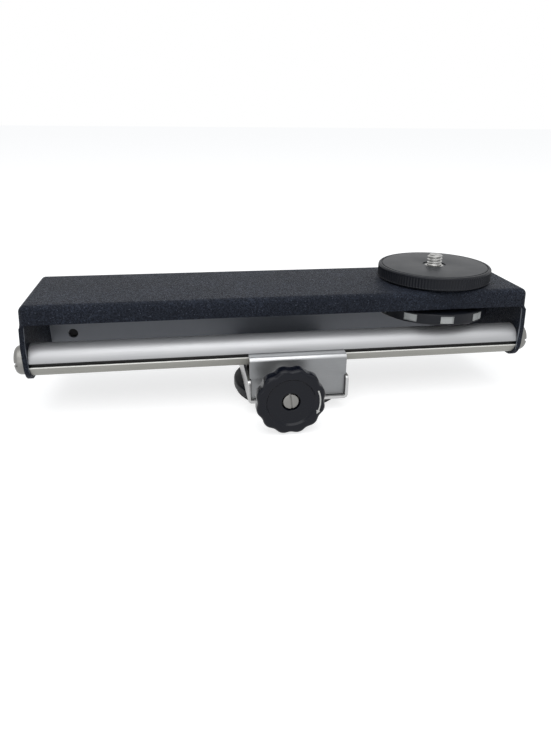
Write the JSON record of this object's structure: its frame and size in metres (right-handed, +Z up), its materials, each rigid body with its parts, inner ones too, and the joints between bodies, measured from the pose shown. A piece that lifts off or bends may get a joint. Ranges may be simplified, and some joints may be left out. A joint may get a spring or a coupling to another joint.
{
  "type": "macro focusing rail",
  "caption": "Sliding camera rail: a black bridge over a grooved rod that runs in a clamped tripod carriage, with a turning camera platform and thumb-wheel camera screw.",
  "frame": {"origin": "centre of the tripod thread's mouth, on the underside of the base", "axes": "+X along the rail towards the camera platform, +Y away from the clamp knob, +Z up along the tripod thread"},
  "size_m": [0.2124, 0.0702, 0.0582],
  "materials": {
    "wrinkle_black": "black wrinkle paint on sheet metal",
    "bright_rod": "drawn and polished rod",
    "satin_aluminium": "satin brushed aluminium sheet",
    "jaw_aluminium": "satin anodised aluminium sheet",
    "black_anodised": "black anodised turned aluminium",
    "wheel_black": "black wheel with bare notch floors",
    "platform_pad": "smooth dark grey pad",
    "camera_stud": "turned steel camera thread",
    "nickel_screws": "nickel-plated screws",
    "zinc_steel": "zinc-plated turned steel",
    "spring_steel": "drawn spring wire",
    "fibre_washer": "black fibre",
    "rubber": "black rubber",
    "knob_black": "black moulded plastic, satin"
  },
  "bodies": {
    "carriage": {"base_channel": "satin_aluminium", "base_disc": "black_anodised", "base_pad": "rubber", "tripod_bush": "zinc_steel", "rear_jaw": "satin_aluminium", "jaw_rivet_left": "nickel_screws", "jaw_rivet_right": "nickel_screws", "clamp_nut": "zinc_steel", "jaw_spring": "spring_steel"},
    "rail": {"bridge": "wrinkle_black", "rail_rod": "bright_rod", "end_screw_left": "nickel_screws", "end_screw_right": "nickel_screws", "platform_hub": "satin_aluminium", "hub_ring": "zinc_steel", "friction_washer": "fibre_washer"},
    "platform": {"platform_disc": "black_anodised", "platform_pad": "platform_pad"},
    "camera_screw": {"camera_stud": "camera_stud", "thumb_wheel": "wheel_black", "wheel_screw": "nickel_screws", "wheel_washer": "zinc_steel"},
    "jaw": {"front_jaw": "jaw_aluminium"},
    "clamp": {"clamp_knob": "knob_black", "clamp_screw": "nickel_screws", "clamp_sleeve": "zinc_steel", "clamp_washer": "zinc_steel"}
  },
  "joints": [
    {"name": "rail_slide", "type": "slide", "parent": "carriage", "child": "rail", "axis": [1, 0, 0], "range_m": [-0.0759, 0.0839]},
    {"name": "jaw_travel", "type": "slide", "parent": "carriage", "child": "jaw", "axis": [0, -1, 0], "range_m": [0, 0.0006]},
    {"name": "clamp_turn", "type": "hinge", "parent": "jaw", "child": "clamp", "pos_m": [-0.0063, -0.0135, 0.01365], "axis": [0, -1, 0], "range_deg": [0, 270]},
    {"name": "platform_turn", "type": "hinge", "parent": "rail", "child": "platform", "pos_m": [0.0644, 0.002, 0.0482], "axis": [0, 0, 1], "continuous": true},
    {"name": "camera_screw_turn", "type": "hinge", "parent": "rail", "child": "camera_screw", "pos_m": [0.0644, 0.002, 0.0385], "axis": [0, 0, 1], "continuous": true}
  ],
  "couplings": [
    {"joint": "clamp_turn", "follows": "jaw_travel", "rad_per_m": 7853.9}
  ]
}
